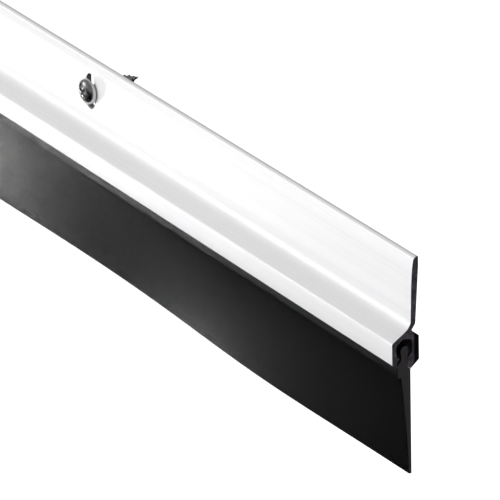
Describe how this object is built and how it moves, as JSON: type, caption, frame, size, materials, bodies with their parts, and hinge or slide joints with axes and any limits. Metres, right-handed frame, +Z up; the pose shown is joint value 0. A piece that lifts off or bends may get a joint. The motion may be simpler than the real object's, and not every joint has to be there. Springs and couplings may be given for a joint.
{
  "type": "door sweep",
  "caption": "Door bottom sweep: slotted aluminium retainer that screws to the door face, with a slide-in rubber insert whose flexible blade closes the gap below.",
  "frame": {"origin": "on the door's face plane, at mid length and half way up the flat back wall of the channel", "axes": "+X along the door, +Y into the door, +Z up"},
  "size_m": [0.9144, 0.0217, 0.0606],
  "materials": {
    "retainer_aluminium": "clear satin anodised, saw-cut ends",
    "insert_rubber": "smooth black extruded rubber",
    "screw_steel": "bright zinc plated"
  },
  "bodies": {
    "door_screws": {"screw_1": "screw_steel", "screw_2": "screw_steel", "screw_3": "screw_steel", "screw_4": "screw_steel", "screw_5": "screw_steel"},
    "retainer": {"retainer": "retainer_aluminium"},
    "insert": {"insert_bead": "insert_rubber"},
    "blade": {"insert_blade": "insert_rubber"}
  },
  "joints": [
    {"name": "height_adjust", "type": "slide", "parent": "door_screws", "child": "retainer", "axis": [0, 0, 1], "range_m": [-0.003, 0.003]},
    {"name": "insert_slide", "type": "slide", "parent": "retainer", "child": "insert", "axis": [1, 0, 0], "range_m": [-0.9, 0.9]},
    {"name": "blade_flex", "type": "hinge", "parent": "insert", "child": "blade", "pos_m": [0, -0.0042, -0.0081], "axis": [1, 0, 0], "range_deg": [-45, 45], "stiffness_Nm_per_rad": 0.06}
  ]
}
